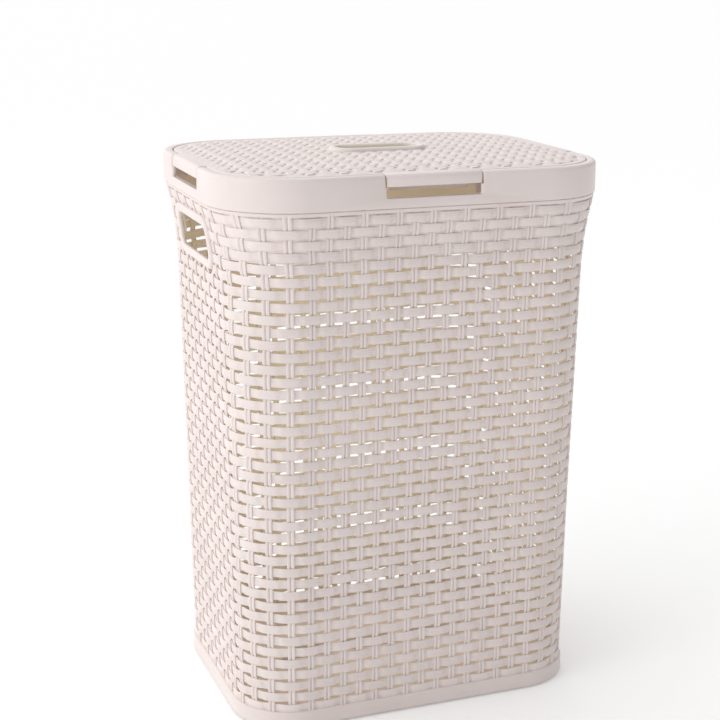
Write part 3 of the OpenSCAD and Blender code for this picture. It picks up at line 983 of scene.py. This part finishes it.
def tongue(name, edge, reach, turn):
    """A tongue that folds from the lid's border over a notch of the collar."""
    lap, bend_r, top, low = 2.6 * MM, 5 * MM, LID_Z + 0.03 * MM, TONGUE_Z
    inner_face = reach - TONGUE_T
    outline = [(-lap, top), (0, top)]
    outline += arc(reach - bend_r, top - bend_r, bend_r, 90, 0, 8)
    outline += [(reach, low + 0.8 * MM), (reach - 0.3 * MM, low + 0.2 * MM), (reach - 0.9 * MM, low),
                (inner_face + 0.4 * MM, low), (inner_face, low + 0.5 * MM)]
    outline += arc(reach - bend_r, top - bend_r, bend_r - TONGUE_T, 0, 90, 5)
    outline += [(-lap, top - TONGUE_T)]
    # towards both sides, the outer and upper faces are pulled in to round the edge
    pulls = (0.9 * MM, 0.25 * MM, 0)
    half = TONGUE_W / 2
    ends = [(-half + step, pull) for step, pull in zip(pulls[::-1], pulls)]
    sides = ends + [(-y, pull) for y, pull in reversed(ends)]
    middle = sum(u for u, z in outline) / len(outline)
    rows = []
    for y, pull in sides:
        row = []
        for u, z in outline:
            du = -pull if u > middle + 2 * MM else 0
            dz = -pull if z > top - 1 * MM else 0
            row.append((edge + u + du, y, z + dz))
        rows.append(row)
    build = Build()
    build.grid(np.array(rows), False, True, caps=True)
    obj = build.piece(name, MAT_LID_SMOOTH, SMOOTH_EDGED)
    obj.data.transform(Matrix.Rotation(math.radians(turn), 4, "Z"))
    return obj


def grip_ring():
    """The raised ring round the lid's slot."""
    # distance in from the ring's outer edge and height over its base, in millimetres
    section = [(0.0, -1.6), (0.05, 1.2), (0.6, 2.8), (1.8, 4.1), (3.6, 4.7), (5.6, 4.7),
               (7.4, 4.1), (8.6, 2.8), (9.0, 1.4), (9.0, -6.8), (7.4, -6.8), (7.4, -1.8)]
    slot_side = 8.6
    base = PANEL_HI.z - 0.6 * MM
    cap = (RING_L - RING_W) / 2
    steps = 32
    points = []
    for side, a0 in ((1, -90), (-1, 90)):
        for k in range(steps + 1):
            a = math.radians(a0 + 180 * k / steps)
            row = [(side * cap + math.cos(a) * (RING_W / 2 - inset * MM),
                    LID_Y + math.sin(a) * (RING_W / 2 - inset * MM), base + height * MM)
                   for inset, height in section]
            points.append(row)
    # the slot's inner walls get the painted warm shade
    inner = np.array([inset >= slot_side for inset, height in section], float)[None, :]
    build = Build()
    build.grid(np.array(points), True, True, 0.5, inner)
    return build.piece("lid_grip", MAT_LID_SMOOTH, SMOOTH_ROUND)


# ---------------------------------------------------------------- assembly
for piece in woven_wall() + [upper_shell()]:
    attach(piece, "basket")
    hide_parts("basket_wall", "upper_wall")
for piece in (collar(), cheeks()):
    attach(piece, "basket")
    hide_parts("collar")
for side, label in ((1, "right"), (-1, "left")):
    piece = handle_frame(side)
    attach(piece, "basket")
    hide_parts(f"handle_frame_{label}")
for piece in lid_weave() + [lid_shell()]:
    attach(piece, "lid")
    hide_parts("lid_panel")
for piece in (lid_border(), stop_ribs()):
    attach(piece, "lid")
    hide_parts("lid_border")
for name, edge, reach, turn in (("right_tongue", SIDE_EDGE, SIDE_REACH, 0),
                                ("left_tongue", SIDE_EDGE, SIDE_REACH, 180),
                                ("front_tongue", FRONT_EDGE, FRONT_REACH, 270)):
    piece = tongue(name + "_skin", edge, reach, turn)
    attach(piece, "lid")
    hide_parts(name)
piece = grip_ring()
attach(piece, "lid")
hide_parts("grip_ring")
# these nodes are seen as the CAD has them
for material, names in ((MAT_SMOOTH, ("base_band", "basket_floor", "foot_front_left",
                                      "foot_front_right", "foot_rear_left", "foot_rear_right",
                                      "hinge_rod")),
                        (MAT_LID_SMOOTH, ("hinge_tongue", "knuckle_left", "knuckle_right"))):
    for name in names:
        NODES[name].data.materials.clear()
        NODES[name].data.materials.append(material)


# ---------------------------------------------------------------- stage, light and camera
WHITE = (1, 1, 1)
FLOOR_HALF = 40.0
FLOOR_COLOR = (0.92, 0.92, 0.92)
FLOOR_GLOW = 0.14
# the world is brightest towards this side and dark on the other
BRIGHT_SIDE = (-0.60, 0.62, 0.50)
WORLD_LOW, WORLD_HIGH = 0.0, 1.38
KEY_PLACE = (-2.4, -0.6, 1.5)
KEY_AIM = (0, 0, 0.4)
KEY_SIZE = 1.6
KEY_POWER = 14.0
# two warm lamps inside stand in for light that comes through the plastic
INSIDE_HEIGHTS = (0.20, 0.44)
INSIDE_COLOR = (1.0, 0.91, 0.72)
INSIDE_RADIUS = 0.08
INSIDE_POWER = 0.30

# the camera, fitted to the photo: angles in degrees, lens and sensor in millimetres
AZIMUTH = 22.24
ELEVATION = 13.58
DISTANCE = 1.8730
AIM = (0.0559, 0.0, 0.4048)
ROLL = 0.635
FOCAL = 79.34
SENSOR = 36
SHIFT = (-0.0838, -0.0435)
CLIP_END = 50


def stage():
    """A wide pale floor."""
    mesh = bpy.data.meshes.new("floor")
    half = FLOOR_HALF
    mesh.from_pydata([(-half, -half, 0), (half, -half, 0), (half, half, 0), (-half, half, 0)],
                     [], [(0, 1, 2, 3)])
    floor = bpy.data.objects.new("floor", mesh)
    bpy.context.scene.collection.objects.link(floor)
    mat = bpy.data.materials.new("pale_floor")
    mat.use_nodes = True
    bsdf = mat.node_tree.nodes["Principled BSDF"]
    bsdf.inputs["Base Color"].default_value = (*FLOOR_COLOR, 1)
    bsdf.inputs["Roughness"].default_value = 0.9
    bsdf.inputs["Specular IOR Level"].default_value = 0.1
    bsdf.inputs["Emission Color"].default_value = (*WHITE, 1)
    bsdf.inputs["Emission Strength"].default_value = FLOOR_GLOW
    mesh.materials.append(mat)


def world_light():
    """A white world that is brightest towards one side."""
    world = bpy.data.worlds.new("studio")
    world.use_nodes = True
    nodes, links = world.node_tree.nodes, world.node_tree.links
    back = nodes["Background"]
    back.inputs["Color"].default_value = (*WHITE, 1)
    coords = nodes.new("ShaderNodeTexCoord")
    facing = nodes.new("ShaderNodeVectorMath")
    facing.operation = "DOT_PRODUCT"
    facing.inputs[1].default_value = Vector(BRIGHT_SIDE).normalized()
    links.new(coords.outputs["Generated"], facing.inputs[0])
    level = nodes.new("ShaderNodeMapRange")
    level.inputs["From Min"].default_value = -1.0
    level.inputs["From Max"].default_value = 1.0
    level.inputs["To Min"].default_value = WORLD_LOW
    level.inputs["To Max"].default_value = WORLD_HIGH
    links.new(facing.outputs["Value"], level.inputs["Value"])
    links.new(level.outputs["Result"], back.inputs["Strength"])
    bpy.context.scene.world = world


def add_lamp(name, kind, power, place):
    """Adds a lamp and returns its object."""
    lamp = bpy.data.lights.new(name, kind)
    lamp.energy = power
    obj = bpy.data.objects.new(name, lamp)
    obj.location = place
    bpy.context.scene.collection.objects.link(obj)
    return obj


def lamps():
    """A square lamp at the left and two small warm ones inside the basket."""
    key = add_lamp("key_left", "AREA", KEY_POWER, KEY_PLACE)
    key.data.shape = "RECTANGLE"
    key.data.size = KEY_SIZE
    key.data.size_y = KEY_SIZE
    towards = Vector(KEY_AIM) - Vector(KEY_PLACE)
    key.rotation_euler = towards.to_track_quat("-Z", "Y").to_euler()
    for height in INSIDE_HEIGHTS:
        inside = add_lamp("inside", "POINT", INSIDE_POWER, (0, 0, height))
        inside.data.color = INSIDE_COLOR
        inside.data.shadow_soft_size = INSIDE_RADIUS


def camera():
    """The camera at the photograph's viewing angle."""
    cam = bpy.data.cameras.new("camera")
    cam.sensor_width = SENSOR
    cam.lens = FOCAL
    cam.shift_x, cam.shift_y = SHIFT
    cam.clip_end = CLIP_END
    obj = bpy.data.objects.new("camera", cam)
    az, el = math.radians(AZIMUTH), math.radians(ELEVATION)
    back = Vector((-math.sin(az) * math.cos(el), -math.cos(az) * math.cos(el), math.sin(el)))
    obj.location = Vector(AIM) + back * DISTANCE
    look = (-back).to_track_quat("-Z", "Y").to_matrix().to_4x4()
    roll = Matrix.Rotation(math.radians(ROLL), 4, "Z")
    obj.rotation_euler = (look @ roll).to_euler()
    bpy.context.scene.collection.objects.link(obj)
    bpy.context.scene.camera = obj


stage()
world_light()
lamps()
camera()
bpy.context.scene.view_settings.view_transform = "Standard"
